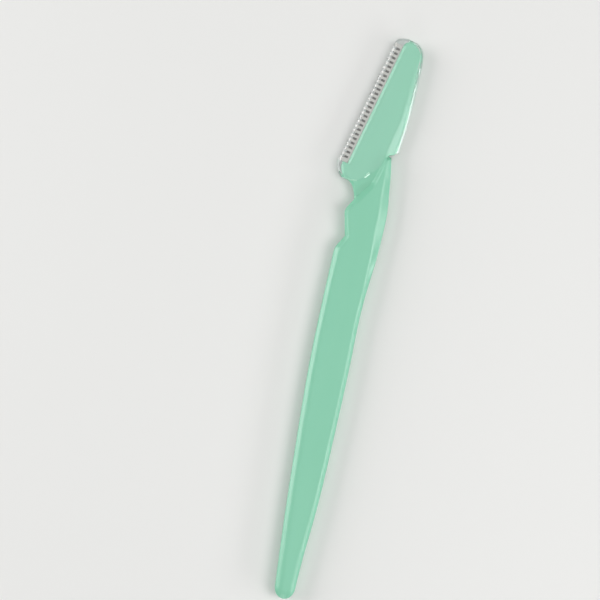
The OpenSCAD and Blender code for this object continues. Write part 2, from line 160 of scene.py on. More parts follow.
def factor(name, description, default):
    """A property that holds a share between 0 and 1."""
    return FloatProperty(name=name, description=description, default=default, min=0, max=1, subtype="FACTOR")


def linear(hex_colour):
    """The linear colour of an sRGB hex value."""
    parts = [int(hex_colour[i:i + 2], 16) / 255 for i in (0, 2, 4)]
    return [p / 12.92 if p <= 0.04045 else ((p + 0.055) / 1.055) ** 2.4 for p in parts]


def colour(name, description, hex_colour):
    """A property that holds a colour."""
    return FloatVectorProperty(name=name, description=description, default=linear(hex_colour), size=3,
                               subtype="COLOR", min=0, max=1)


class HandleSizes(bpy.types.PropertyGroup):
    """Sizes of the moulded handle."""

    grip_length: length("Grip length", "From the tail to the root of the neck", 94.5)
    grip_width: length("Grip width", "Width at the root of the neck", 11.75)
    grip_thickness: length("Grip thickness", "Thickness of the grip and the neck", 4.4)
    tail_width: length("Tail width", "Width where the tail's rounded end begins", 5.5)
    tail_length: length("Tail length", "Length of the tail's rounded end", 3.2)
    blade_band: length("Blade-side band", "Width of the sloped band on the blade side", 1.2)
    spine_band: length("Spine band", "Width of the sloped band on the spine side", 0.8)
    band_depth: length("Band depth", "Depth of the sloped bands from either face", 1.05)
    neck_length: length("Neck length", "From the root of the neck to the tip of its shoulder", 27.8)
    scoop_depth: length("Scoop depth", "Depth of the scoop in the side of the neck", 0.95)
    hollow_depth: length("Hollow depth", "Depth of the hollow beside the shoulder", 0.6)
    lip_width: length("Lip width", "Width of the sloped lip beside the steel", 0.85)
    lip_depth: length("Lip depth", "Depth of the sloped lip", 0.45)
    bevel_width: length("Bevel width", "Greatest width of the bevel along the spine of the head", 2.4)
    bevel_depth: length("Bevel depth", "Greatest depth of that bevel", 0.7)
    grip_softness: length("Grip softness", "How far the crests of the bands are blended along the grip", 0.7)
    crest_softness: length("Crest softness", "How far the crests of the neck's facets are blended", 0.26)
    foot_softness: length("Foot softness", "How far the foot of the shoulder is blended into the head", 0.14)
    edge_radius: length("Edge radius", "Rounding of the outer edges", 0.2)
    heel_bevel: length("Heel bevel", "Width of the bevel round the head's heel", 0.6)
    heel_drop: length("Heel drop", "Depth of the bevel round the head's heel", 0.5)


class HeadSizes(bpy.types.PropertyGroup):
    """Sizes of the head and of the steel in it, which the cover shares."""

    thickness: length("Head thickness", "Thickness of the head", 2.3)
    width: length("Head width", "From the cutting edge to the spine, half way along the steel", 10.7)
    edge_rise: length("Edge rise", "How far past the neck's root the cutting edge's lower end lies", 24.4)
    edge_out: length("Edge reach", "How far from the middle line the cutting edge's lower end lies", 9.1)
    edge_lean: FloatProperty(
        name="Edge lean", description="Lean of the cutting edge from the line of the grip",
        default=math.radians(13.75), subtype="ANGLE")
    steel_length: length("Steel length", "Length of the blade and the guard", 35)
    steel_at_tip: length("Steel at the tip", "Width of steel that shows at the tip", 1.9)
    steel_at_heel: length("Steel at the heel", "Width of steel that shows at the heel", 2)
    play: length("Play", "Play on each side of the steel in its slots", 0.03)
    guard_out: length("Guard reach", "How far the guard's fold stands out past the cutting edge", 0.4)
    guard_width: length("Guard width", "Width of each side of the guard", 3.2)
    fold: length("Fold", "Thickness of the folded guard", 0.55)
    blade_width: length("Blade width", "From the cutting edge to the back of the blade", 4.5)
    blade_thickness: length("Blade thickness", "Thickness of the blade", 0.25)


class CoverSizes(bpy.types.PropertyGroup):
    """Sizes of the clear cover."""

    wall: length("Wall", "Thickness of the cover's wall", 0.45)
    gap: length("Gap", "Clearance between the cover and the head", 0.2)
    room: length("Room", "Extra room along the spine of the head", 0.3)
    mouth_gap: length("Mouth gap", "Clearance between the mouth and the shoulder", 0.3)
    bevel_width: length("Bevel width", "Width of the bevel along the edges", 0.7)
    bevel_depth: length("Bevel depth", "Depth of the bevel along the edges", 0.8)
    inner_radius: length("Inner radius", "Rounding of the inside corners", 0.15)
    lip_width: length("Lip width", "Width of the bevel at the rim of the mouth", 0.54)
    lip_depth: length("Lip depth", "Depth of the bevel at the rim of the mouth", 0.42)


class Finishes(bpy.types.PropertyGroup):
    """Colours of the materials."""

    mint: colour("Mint", "Colour of the moulded handle", "8BCEB0")
    mint_deep: colour("Deep mint", "Colour where the plastic flowed thinner", "85CAAB")
    foil: colour("Foil", "Colour of the rolled stainless foil", "D0CEC9")
    # The blade's colour is darker than ground steel's own, as painted shade in the guard's slots, where it
    # shows
    blade: colour("Blade", "Colour of the ground stainless blade", "747370")
    clear: colour("Clear", "Tint of the clear cover", "FDFEFE")
    floor: colour("Floor", "Colour of the floor", "E9E9E7")


class StudioSettings(bpy.types.PropertyGroup):
    """Camera and light. A lamp's share is its part of the light on a level white surface."""

    pixel: length("Pixel", "Real size of one pixel of the photograph at the part", 0.27)
    picture_lean: FloatProperty(
        name="Picture lean", description="Clockwise lean of the handle in the picture",
        default=math.radians(12), subtype="ANGLE")
    lens: FloatProperty(
        name="Lens", description="Focal length of the camera", default=120, min=1, unit="CAMERA")
    overhead: factor("Overhead", "Brightness of the tent overhead", 0.9)
    sides: factor("Sides", "Brightness of the tent's sides", 0.14)
    left_share: factor("Left", "Share of light from the box on the left", 0.27)
    right_share: factor("Right", "Share of light from the box on the right", 0.26)
    strip_share: factor("Strip", "Share of light from the low strip on the right", 0.1)
    end_share: factor("Ends", "Share of light from the lamp at either end", 0.05)


# Geometry helpers


def sized(shares, along, across, start=0.0):
    """Shares as points, from a start along the handle."""
    return np.array([(start + a * along, b * across) for a, b in shares])


def smooth_line(knots, steps=CURVE_STEPS):
    """A smooth line through every knot."""
    padded = np.vstack((knots[:1], knots, knots[-1:]))
    t = np.linspace(0, 1, steps, endpoint=False)[:, None]
    spans = []
    for a, b, c, d in zip(padded, padded[1:], padded[2:], padded[3:]):
        spans.append(0.5 * (2 * b + (c - a) * t + (2 * a - 5 * b + 4 * c - d) * t ** 2
                            + (3 * b - a - 3 * c + d) * t ** 3))
    return np.vstack(spans + [knots[-1:]])


def moved(line, distance, turn):
    """A line moved sideways, to its right where turn is 1 and to its left where it is -1."""
    ahead = np.gradient(line, axis=0)
    ahead /= np.linalg.norm(ahead, axis=1)[:, None]
    return line + turn * distance * np.column_stack((ahead[:, 1], -ahead[:, 0]))


def run_of(line):
    """The distance along a line at each of its points."""
    return np.concatenate(([0], np.cumsum(np.linalg.norm(np.diff(line, axis=0), axis=1))))


def along_line(line, distances):
    """The points of a line at given distances along it."""
    run = run_of(line)
    return np.column_stack([np.interp(distances, run, line[:, k]) for k in (0, 1)])


def second_at(line, first):
    """The second measure of a line where its first measure has the given values."""
    order = np.argsort(line[:, 0], kind="stable")
    return np.interp(first, line[order, 0], line[order, 1])


def distance_to(points, line):
    """The distance of each point to a line of points."""
    starts, steps = line[:-1], np.diff(line, axis=0)
    squares = np.maximum((steps ** 2).sum(1), LEAST_SQUARE)
    nearest = []
    for k in range(0, len(points), CHUNK):
        away = points[k:k + CHUNK, None, :] - starts
        share = np.clip((away * steps).sum(2) / squares, 0, 1)
        nearest.append(np.sqrt(((away - share[..., None] * steps) ** 2).sum(2).min(1)))
    return np.concatenate(nearest)


def inside(points, outline):
    """True for each point that lies inside a closed outline."""
    x, y = points[:, :1], points[:, 1:]
    ax, ay = outline[:, 0], outline[:, 1]
    bx, by = np.roll(ax, -1), np.roll(ay, -1)
    level = np.where(np.abs(by - ay) < LEAST_RISE, LEAST_RISE, by - ay)
    crosses = ((ay > y) != (by > y)) & (x < (bx - ax) * (y - ay) / level + ax)
    return crosses.sum(1) % 2 == 1


def soft_min(a, b, k):
    """The lower of two heights, blended over k."""
    share = np.maximum(k - np.abs(a - b), 0) / k
    return np.minimum(a, b) - share ** 2 * k / 4


def soft_max(a, b, k):
    """The higher of two heights, blended over k."""
    return -soft_min(-a, -b, k)


def rounding(distance, width, depth):
    """How far an elliptic rounding lies below a face, at a distance from the edge."""
    share = np.clip(1 - distance / width, 0, 1)
    return depth * (1 - np.sqrt(1 - share ** 2))


def bevelled(distance, width, depth):
    """How far a bevel lies below a face. It drops steeply at its outer edge."""
    return np.interp(distance, (0, BEVEL_BRINK * width, width),
                     (depth, (1 - BEVEL_BRINK) * width * BEVEL_SLOPE, 0))


def facet_floor(points, corners, face, depth, k):
    """Height of a three-sided pit, whose corners are a crest, a fade, an end and a lowest point."""
    tops, low = corners[:3], corners[3]
    floor = None
    for a, b in ((0, 1), (1, 2), (2, 0)):
        edges = np.array((tops[a] - low, tops[b] - low))
        slope = np.linalg.solve(edges, (depth, depth))
        plane = face - depth + (points - low) @ slope
        floor = plane if floor is None else soft_max(floor, plane, k)
    return floor


class Layout:
    """The lines that the handle, the steel and the cover are laid out on."""

    def __init__(self, handle, head):
        self.handle, self.head = handle, head
        self.lean = head.edge_lean
        root, rise = handle.grip_length, head.edge_rise
        self.tip = np.array((root + rise + head.steel_length * math.cos(self.lean),
                             head.steel_length * math.sin(self.lean) - head.edge_out))
        self.shoulder_knots = sized(SHOULDER_SHARES, handle.neck_length, handle.grip_width, root)
        neck = [sized(s, handle.neck_length, handle.grip_width, root) for s in (HOOK_SHARES, SWELL_SHARES,
                                                                                 NOTCH_SHARES)]
        self.neck_blade = np.vstack([smooth_line(k) for k in neck])
        self.neck_spine = smooth_line(sized(NECK_SPINE_SHARES, handle.neck_length, handle.grip_width, root))
        tail = handle.tail_length
        self.tail_end = tail * (1 - math.cos(CAD_FIRST_ANGLE))
        half, middle = handle.tail_width / 2, TAIL_MIDDLE_SHARE * handle.tail_width
        self.grip_blade = smooth_line(np.vstack(([[tail, middle - half]],
                                                 sized(GRIP_BLADE_SHARES, root, handle.grip_width))))
        self.grip_spine = smooth_line(np.vstack(([[tail, middle + half]],
                                                 sized(GRIP_SPINE_SHARES, root, handle.grip_width))))
        angles = np.linspace(FIRST_ANGLE, math.pi / 2, TAIL_ROWS, endpoint=False)
        along = self.tail_end + (tail - self.tail_end) * (1 - np.cos(angles))
        self.tail_blade, self.tail_spine = (
            np.column_stack((along, middle + side * half * np.sin(angles))) for side in (-1, 1))

    def from_edge(self, points):
        """Points of the edge frame as handle points. That frame starts at the cutting edge's tip end, and its
        first measure runs down the edge."""
        cos, sin = math.cos(self.lean), math.sin(self.lean)
        return np.column_stack((self.tip[0] - points[:, 0] * cos - points[:, 1] * sin,
                                self.tip[1] - points[:, 0] * sin + points[:, 1] * cos))

    def to_edge(self, points):
        """Handle points in the edge frame."""
        cos, sin = math.cos(self.lean), math.sin(self.lean)
        away = self.tip - points
        return np.column_stack((away[:, 0] * cos + away[:, 1] * sin, away[:, 0] * sin - away[:, 1] * cos))

    def head_line(self, shares):
        """A smooth line round the head, in the edge frame."""
        return smooth_line(sized(shares, self.head.steel_length, self.head.width))

    def steel_line(self, x):
        """Where the plastic meets the steel, in the edge frame."""
        head = self.head
        return head.steel_at_tip - head.guard_out + (head.steel_at_heel - head.steel_at_tip) * (
            x / head.steel_length)

    def bevel_line(self):
        """The outer line of the bevel along the spine of the head, in the edge frame."""
        ends = [sized(s, self.head.steel_length, self.head.width) for s in (
            TIP_SHARES[BEVEL_START:BEVEL_START + 2], (BEVEL_END_SHARES,))]
        return np.vstack((ends[0], self.head_line(SPINE_SHARES), ends[1]))

    def place(self, points, heights):
        """Handle points as places in the part's frame. The tail and the widest place of the spine meet those
        of the CAD model."""
        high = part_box("handle")[1]
        middle = self.grip_and_neck_spine()[:, 1].max() - high.y
        return np.column_stack((high.x + self.tail_end - points[:, 0], points[:, 1] - middle,
                                heights + self.handle.grip_thickness / 2))

    def grip_and_neck_spine(self):
        """The spine side from the tail to the end of the neck."""
        return np.vstack((self.tail_spine, self.grip_spine, self.neck_spine))


def handle_rows(lay):
    """Both ends of each row of the handle's mesh, from the tail to the tip, and the rows where the slot
    starts and ends. Rows turn from square to the grip to square to the cutting edge along the neck."""
    handle, head = lay.handle, lay.head
    root = handle.grip_length
    grip = np.arange(handle.tail_length, root, GRIP_ROW)
    left, right = [lay.tail_blade], [lay.tail_spine]
    left.append(np.column_stack((grip, second_at(lay.grip_blade, grip))))
    right.append(np.column_stack((grip, second_at(lay.grip_spine, grip))))

    heel = lay.from_edge(np.vstack((
        lay.head_line(ROOT_SHARES), lay.head_line(HEEL_SHARES),
        [[head.steel_length + head.play + STEP_WIDTH, HEEL_SHARES[-1][1] * head.width]])))
    side = np.vstack((lay.neck_blade, heel))
    run = run_of(side)[-1]
    side = along_line(side, np.linspace(0, run, int(run / NECK_ROW)))
    spine_in_edge = lay.to_edge(lay.neck_spine)
    ledge = head.steel_length + head.play + STEP_WIDTH
    ledge_spine = lay.from_edge(np.array([[ledge, second_at(spine_in_edge, ledge)]]))[0, 0]
    notch = lay.neck_blade[-1]
    across = second_at(lay.neck_spine, notch[0]) - notch[1]
    notch_spine = notch[0] - across * math.tan(lay.lean / 2)
    spine = np.interp(side[:, 0], (root, notch[0], side[-1, 0]), (root, notch_spine, ledge_spine))
    left.append(side)
    right.append(np.column_stack((spine, second_at(lay.neck_spine, spine))))
    slot_start = sum(map(len, left))

    neck_end = spine_in_edge[:, 0].min()
    x = np.linspace(head.steel_length + head.play, neck_end, int((head.steel_length - neck_end) / HEAD_ROW))
    left.append(lay.from_edge(np.column_stack((x, lay.steel_line(x)))))
    right.append(lay.from_edge(np.column_stack((x, second_at(spine_in_edge, x)))))

    tip = lay.head_line(TIP_SHARES)
    far = tip[:, 0].argmin()
    line = lay.head_line(SPINE_SHARES)
    back = np.vstack((tip[far:], line[1:], sized(STEP_SHARES, head.steel_length, head.width)))
    ledge = line[-1, 0]
    x = np.concatenate((np.arange(neck_end - STEP_WIDTH, ledge, -STEP_WIDTH),
                        np.linspace(ledge, -head.play, int(ledge / HEAD_ROW))))
    left.append(lay.from_edge(np.column_stack((x, lay.steel_line(x)))))
    right.append(lay.from_edge(np.column_stack((x, second_at(back, x)))))
    slot_end = sum(map(len, left)) - 1

    front = np.vstack(([[-head.play, lay.steel_line(-head.play)]], tip[:far + 1]))
    turn = np.linspace(0, math.pi / 2 - FIRST_ANGLE, TIP_ROWS)[1:]
    x = -head.play + (tip[far, 0] + head.play) * np.sin(turn)
    left.append(lay.from_edge(np.column_stack((x, second_at(front, x)))))
    right.append(lay.from_edge(np.column_stack((x, second_at(back, x)))))
    return np.vstack(left), np.vstack(right), slot_start, slot_end


def handle_heights(lay, points, outline):
    """Height of the handle's face over its middle plane, at points given along and across it."""
    handle, head = lay.handle, lay.head
    face, thin = handle.grip_thickness / 2, head.thickness / 2
    full = handle.grip_length + handle.neck_length
    blade = np.vstack((lay.tail_blade, lay.grip_blade, lay.neck_blade, smooth_line(lay.shoulder_knots)))
    spine = lay.grip_and_neck_spine()
    share = points[:, 0] / full
    blade_band = handle.blade_band * np.interp(share, *zip(*BLADE_BAND_SHARES))
    spine_band = handle.spine_band * np.interp(share, *zip(*SPINE_BAND_SHARES))
    ends = ((distance_to(points, blade), blade_band), (distance_to(points, spine), spine_band),
            (distance_to(points, np.array((blade[-1], spine[-1]))), handle.blade_band * END_BAND_SHARE))
    thick = inside(points, np.vstack((blade, spine[::-1])))
    softness = np.interp(points[:, 0] / handle.grip_length, SOFT_TO_SHARES,
                         (handle.grip_softness, handle.crest_softness))
    rise = None
    for away, band in ends:
        slope = handle.band_depth * away / band
        rise = slope if rise is None else soft_min(rise, slope, handle.crest_softness)
    fall = FOOT_STEEPNESS * handle.band_depth * np.minimum.reduce([a / b for a, b in ends])
    rise = np.where(thick, rise, -fall)
    neck = soft_min(thin + rise, face, softness)
    scoop = sized(SCOOP_SHARES, handle.neck_length, handle.grip_width, handle.grip_length)
    neck = soft_min(neck, facet_floor(points, scoop, face, handle.scoop_depth, handle.crest_softness),
                    handle.crest_softness)
    hollow = sized(HOLLOW_SHARES, handle.neck_length, handle.grip_width, handle.grip_length)
    flat = soft_min(thin, facet_floor(points, hollow, thin, handle.hollow_depth, handle.foot_softness),
                    handle.foot_softness)
    edge = lay.to_edge(points)
    share = edge[:, 0] / head.steel_length
    bevel_width = handle.bevel_width * np.interp(share, *zip(*BEVEL_WIDTH_SHARES))
    bevel_depth = handle.bevel_depth * np.interp(share, *zip(*BEVEL_DEPTH_SHARES))
    bevel = thin - bevel_depth * (1 - distance_to(edge, lay.bevel_line()) / bevel_width)
    flat = soft_min(flat, bevel, handle.foot_softness)
    on_head = points[:, 0] > handle.grip_length + NOTCH_SHARES[0][0] * handle.neck_length
    height = np.where(on_head, soft_max(neck, flat, handle.foot_softness), neck)

    from_steel = edge[:, 1] - lay.steel_line(edge[:, 0])
    beside = (edge[:, 0] > -head.play - SLACK) & (edge[:, 0] < head.steel_length + head.play + SLACK)
    lip = thin - handle.lip_depth + from_steel * handle.lip_depth / handle.lip_width
    height = np.where(beside & (lip < height), lip, height)
    away = distance_to(points, outline)
    at_heel = np.where(thick, 0, np.interp(share, HEEL_BEVEL_SHARES, (0, 1)))
    return height - np.maximum(rounding(away, handle.edge_radius, handle.edge_radius),
                               at_heel * bevelled(away, handle.heel_bevel, handle.heel_drop))


def new_piece(name, places, faces):
    """A smooth-shaded mesh object with its normals facing out."""
    mesh = bpy.data.meshes.new(name)
    mesh.from_pydata([tuple(p) for p in places], [], faces)
    work = bmesh.new()
    work.from_mesh(mesh)
    bmesh.ops.recalc_face_normals(work, faces=work.faces)
    work.to_mesh(mesh)
    work.free()
    mesh.shade_smooth()
    mesh.set_sharp_from_angle(angle=SHARP_ANGLE)
    piece = bpy.data.objects.new(name, mesh)
    bpy.context.scene.collection.objects.link(piece)
    return piece


def sheet_faces(top, bottom):
    """Faces of a top and a bottom sheet of points."""
    faces = []
    for i in range(len(top) - 1):
        for j in range(len(top[0]) - 1):
            faces.append((top[i][j], top[i][j + 1], top[i + 1][j + 1], top[i + 1][j]))
            faces.append((bottom[i][j], bottom[i + 1][j], bottom[i + 1][j + 1], bottom[i][j + 1]))
    return faces


def wall_faces(upper, lower):
    """Faces between an upper and a lower line of points."""
    return [(upper[i], upper[i + 1], lower[i + 1], lower[i]) for i in range(len(upper) - 1)]


def build_handle(lay):
    """The moulded handle as one closed mesh, with the stepped slot that holds the steel."""
    head = lay.head
    left, right, start, end = handle_rows(lay)
    rows = []
    for a, b in zip(left, right):
        width = np.linalg.norm(b - a)
        near, far = (rim / width * min(1, MOST_RIM_SHARE * width / rim[-1]) for rim in (BLADE_RIM, SPINE_RIM))
        middle = np.linspace(near[-1], 1 - far[-1], MIDDLE_COLUMNS)[1:-1]
        share = np.concatenate((near, middle, 1 - far[::-1]))[:, None]
        rows.append(a + share * (b - a))
    columns = len(rows[0])
    points = np.vstack(rows)
    outline = np.vstack((left, right[::-1], left[:1]))
    heights = handle_heights(lay, points, outline)
    places = [lay.place(points, heights), lay.place(points, -heights)]
    top = np.arange(len(points)).reshape(-1, columns)
    bottom = top + len(points)

    # The slot's profile: corners 0 to 3 run from its opening over the guard's room to the back of the blade's
    # slit, above the middle plane, and 4 to 7 run back below it
    room, slit = head.fold / 2 + head.play, head.blade_thickness / 2 + head.play
    behind = head.guard_width - head.guard_out + head.play
    profile = ((0, room), (behind, room), (behind, slit), (head.blade_width + head.play, slit))
    profile += tuple((y, -z) for y, z in profile[::-1])
    slot = []
    in_edge = lay.to_edge(left[start:end + 1])
    for x, y in in_edge:
        at = np.array([(x, max(depth, y)) for depth, _ in profile])
        slot.append(lay.place(lay.from_edge(at), np.array([z for _, z in profile])))
    first = 2 * len(points)
    ring = first + np.arange(len(slot) * len(profile)).reshape(-1, len(profile))

    faces = sheet_faces(top, bottom)
    faces += wall_faces(bottom[:, -1], top[:, -1])
    faces += wall_faces(top[:start, 0], bottom[:start, 0])
    faces += wall_faces(top[end + 1:, 0], bottom[end + 1:, 0])
    faces += wall_faces(bottom[0], top[0])
    faces += wall_faces(top[-1], bottom[-1])
    for i, (a, b) in enumerate(zip(ring[:-1], ring[1:])):
        one = [top[start + i, 0], *a, bottom[start + i, 0]]
        two = [top[start + i + 1, 0], *b, bottom[start + i + 1, 0]]
        faces += wall_faces(one, two)
    # Each end of the slot is closed beside its opening, across the guard's room and across the blade's slit
    for row, beyond, flip in ((start, start - 1, 1), (end, end + 1, -1)):
        r = ring[row - start]
        faces.append((top[beyond, 0], top[row, 0], r[0], r[7], bottom[row, 0], bottom[beyond, 0])[::flip])
        faces.append((r[0], r[1], r[2], r[5], r[6], r[7])[::flip])
        faces.append((r[2], r[3], r[4], r[5])[::flip])
    return new_piece("handle_moulding", np.vstack(places + slot), faces)


def mouth_of(lay, cover):
    """The line of the cover's mouth in the edge frame, from the blade side to the spine side."""
    head = lay.head
    knots, spans = lay.shoulder_knots, len(lay.shoulder_knots) - 1
    shoulder = smooth_line(knots)
    at = [round(t * spans * CURVE_STEPS) for t in MOUTH_BESIDE_SHARES]
    beside = lay.to_edge(shoulder[at] - (0, cover.mouth_gap))
    start = (MOUTH_START_SHARE * head.steel_length, -(cover.gap + head.guard_out + cover.wall))
    heel = sized(MOUTH_HEEL_SHARES, head.steel_length, head.width)
    end = beside[-1] + sized(MOUTH_END_SHARES, head.steel_length, head.width)
    return np.vstack((smooth_line(np.vstack((start, heel, beside))), end))


def cover_surface(lay, cover, blade, spine, half, profile, lip):
    """Points of one surface of the cover, above its middle plane, in rows from the mouth to the tip. Its
    profile gives how far it lies below its face at a distance from its sides, and its lip at a distance from
    the part of the mouth that goes round the heel. Beside the shoulder the mouth keeps a sharp rim."""
    mouth = mouth_of(lay, cover)
    round_heel = mouth[:len(MOUTH_HEEL_SHARES) * CURVE_STEPS + 1]
    low, high = second_at(blade, mouth[:, 0]), second_at(spine, mouth[:, 0])
    share = (mouth[:, 1] - low) / (high - low)
    run = run_of(mouth)
    first, final = np.interp((0, 1), share, run)
    rim = COVER_RIM
    middle = np.linspace(rim[-1], final - first - rim[-1], COVER_COLUMNS)[1:-1]
    at = first + np.concatenate((rim, middle, final - first - rim[::-1]))
    across = np.interp(at, run, share)
    across[[0, -1]] = 0, 1
    start = np.interp(at, run, mouth[:, 0])
    tip = max(blade[:, 0].min(), spine[:, 0].min())
    longest = (start - tip).max()
    body = np.arange(COVER_TIP_ROWS[-1], longest - 2 * COVER_LIP_ROWS[-1], COVER_ROW)[1:]
    from_tip = np.concatenate((COVER_TIP_ROWS, body, longest - COVER_LIP_ROWS[::-1]))[::-1]
    rows, heights = [], []
    outline = np.vstack((blade, spine[::-1]))
    for distance in from_tip:
        if distance >= longest - COVER_LIP_ROWS[-1] - SLACK:
            x = start - (longest - distance)
        else:
            scale = (start - COVER_LIP_ROWS[-1] - tip) / (longest - COVER_LIP_ROWS[-1])
            x = tip + distance * scale
        low, high = second_at(blade, x), second_at(spine, x)
        points = np.column_stack((x, low + across * (high - low)))
        rows.append(points)
        heights.append(half - np.maximum(profile(distance_to(points, outline)),
                                         lip(distance_to(points, round_heel))))
    return rows, heights


def build_cover(lay, cover):
    """The clear cover as one closed shell, with a bevelled outside, room for the head and a curved mouth."""
    head = lay.head
    blade = smooth_line(sized(COVER_BLADE_SHARES, head.steel_length, head.width)
                        + (-cover.gap, -cover.gap - head.guard_out))
    spine = smooth_line(sized(COVER_SPINE_SHARES, head.steel_length, head.width) + (-cover.gap, cover.room))
    room = head.thickness / 2 + cover.gap
    outer = cover_surface(lay, cover, moved(blade, cover.wall, -1), moved(spine, cover.wall, 1),
                          room + cover.wall, lambda d: bevelled(d, cover.bevel_width, cover.bevel_depth),
                          lambda d: bevelled(d, cover.lip_width, cover.lip_depth))
    inner = cover_surface(lay, cover, blade, spine, room,
                          lambda d: rounding(d, cover.inner_radius, cover.inner_radius), np.zeros_like)
    places, faces, mouths, count = [], [], [], 0
    for (rows, heights), flip in ((outer, 1), (inner, -1)):
        points, heights = lay.from_edge(np.vstack(rows)), np.concatenate(heights)
        places += [lay.place(points, heights), lay.place(points, -heights)]
        top = count + np.arange(len(points)).reshape(len(rows), -1)
        bottom = top + len(points)
        count += 2 * len(points)
        skin = sheet_faces(top, bottom)
        skin += wall_faces(top[:, 0], bottom[:, 0])
        skin += wall_faces(bottom[:, -1], top[:, -1])
        skin += wall_faces(top[-1], bottom[-1])
        faces += [face[::flip] for face in skin]
        mouths.append(np.concatenate((top[0], bottom[0][::-1], top[0][:1])))
    faces += wall_faces(mouths[1], mouths[0])
    return new_piece("cover_shell", np.vstack(places), faces)


# Materials


def node(tree, kind, settings=(), inputs=()):
    """Adds a node with its settings. Each input is a value, or the output socket that feeds it."""
    new = tree.nodes.new(kind)
    for name, value in dict(settings).items():
        setattr(new, name, value)
    for name, value in dict(inputs).items():
        if isinstance(value, bpy.types.NodeSocket):
            tree.links.new(value, new.inputs[name])
        else:
            new.inputs[name].default_value = value
    return new


def new_material(name):
    """An empty node material and its tree."""
    material = bpy.data.materials.new(name)
    material.use_nodes = True
    material.node_tree.nodes.clear()
    return material, material.node_tree


def stretched(tree, size, grain, turn=0.0):
    """Noise whose grains are of the given size across, drawn out grain times along a direction."""
    place = node(tree, "ShaderNodeTexCoord").outputs["Object"]
    turned = node(tree, "ShaderNodeMapping", {"vector_type": "TEXTURE"},
                  {"Vector": place, "Rotation": (0, 0, turn), "Scale": (grain, 1, 1)})
    return node(tree, "ShaderNodeTexNoise", inputs={"Vector": turned.outputs["Vector"], "Scale": 1 / size,
                                                    "Detail": 3, "Roughness": 0.55}).outputs["Fac"]


def moulded_abs(finish):
    """Mint ABS from a polished mould. It gives soft satin highlights, slight cloudiness where the plastic
    flowed, and fine lines left by the polishing of the mould along its length. The lines are about 0.03 mm
    apart, too fine to show, and are drawn 0.3 mm apart."""
    material, tree = new_material("moulded_abs_mint")
    flow = stretched(tree, size=7 * MM, grain=4)
    tone = node(tree, "ShaderNodeMix", {"data_type": "RGBA"},
                {"Factor": flow, "A": (*finish.mint_deep, 1), "B": (*finish.mint, 1)})
    clouds = stretched(tree, size=1.6 * MM, grain=2)
    haze = node(tree, "ShaderNodeMapRange", inputs={"Value": clouds, "From Min": 0.3, "From Max": 0.7,
                                                    "To Min": 0.2, "To Max": 0.27})
    lines = stretched(tree, size=0.3 * MM, grain=14)
    bump = node(tree, "ShaderNodeBump", inputs={"Height": lines, "Strength": 0.12, "Distance": 0.02 * MM})
    shader = node(tree, "ShaderNodeBsdfPrincipled", inputs={
        "Base Color": tone.outputs["Result"], "Roughness": haze.outputs["Result"], "IOR": 1.54,
        "Subsurface Weight": 0.12, "Subsurface Radius": (1.0, 1.0, 0.9), "Subsurface Scale": 0.8 * MM,
        "Normal": bump.outputs["Normal"]})
    node(tree, "ShaderNodeOutputMaterial", inputs={"Surface": shader.outputs["BSDF"]})
    return material


def lined_steel(name, tint, lean, smooth, rough):
    """Stainless steel with fine lines along it, whose roughness lies between two values. The lines are about
    0.02 mm apart, too fine to show, and are drawn 0.25 mm apart."""
    material, tree = new_material(name)
    lines = stretched(tree, size=0.25 * MM, grain=30, turn=-lean)
    spread = node(tree, "ShaderNodeMapRange", inputs={"Value": lines, "From Min": 0.3, "From Max": 0.7,
                                                      "To Min": smooth, "To Max": rough})
    bump = node(tree, "ShaderNodeBump", inputs={"Height": lines, "Strength": 0.2, "Distance": 0.01 * MM})
    shader = node(tree, "ShaderNodeBsdfPrincipled", inputs={
        "Base Color": (*tint, 1), "Metallic": 1, "Roughness": spread.outputs["Result"],
        "Normal": bump.outputs["Normal"]})
    node(tree, "ShaderNodeOutputMaterial", inputs={"Surface": shader.outputs["BSDF"]})
    return material


def rolled_stainless(finish, lean):
    """Stainless foil with the satin face of rough rolls. It gives an even grey without sharp glints."""
    return lined_steel("rolled_stainless_foil", finish.foil, lean, smooth=0.48, rough=0.6)


def shaded_ground_stainless(finish, lean):
    """Hardened stainless, ground and honed. Its darker, duller grey is painted shade, so the slots read dark.
    """
    return lined_steel("ground_stainless_blade", finish.blade, lean, smooth=0.32, rough=0.44)


def clear_polystyrene(finish):
    """Clear polystyrene from a mirror-polished mould, with a trace of haze. It bends what lies behind it,
    glints along its bevelled edges, and has faint waves, about 5 mm across, from the flow of the plastic.
    Light falls through it unbent on what it covers, which stays as bright as it is without the cover."""
    material, tree = new_material("clear_polystyrene")
    waves = stretched(tree, size=5 * MM, grain=2)
    bump = node(tree, "ShaderNodeBump", inputs={"Height": waves, "Strength": 0.15, "Distance": 0.05 * MM})
    shell = node(tree, "ShaderNodeBsdfPrincipled", inputs={
        "Base Color": (*finish.clear, 1), "Roughness": 0.04, "IOR": 1.59, "Transmission Weight": 0.97,
        "Normal": bump.outputs["Normal"]})
    through = node(tree, "ShaderNodeBsdfTransparent", inputs={"Color": (*finish.clear, 1)})
    path = node(tree, "ShaderNodeLightPath")
    surface = shell.outputs["BSDF"]
    for rays in ("Is Shadow Ray", "Is Diffuse Ray", "Is Glossy Ray"):
        both = node(tree, "ShaderNodeMixShader", inputs={"Fac": path.outputs[rays]})
        tree.links.new(surface, both.inputs[1])
        tree.links.new(through.outputs["BSDF"], both.inputs[2])
        surface = both.outputs["Shader"]
    node(tree, "ShaderNodeOutputMaterial", inputs={"Surface": surface})
    return material


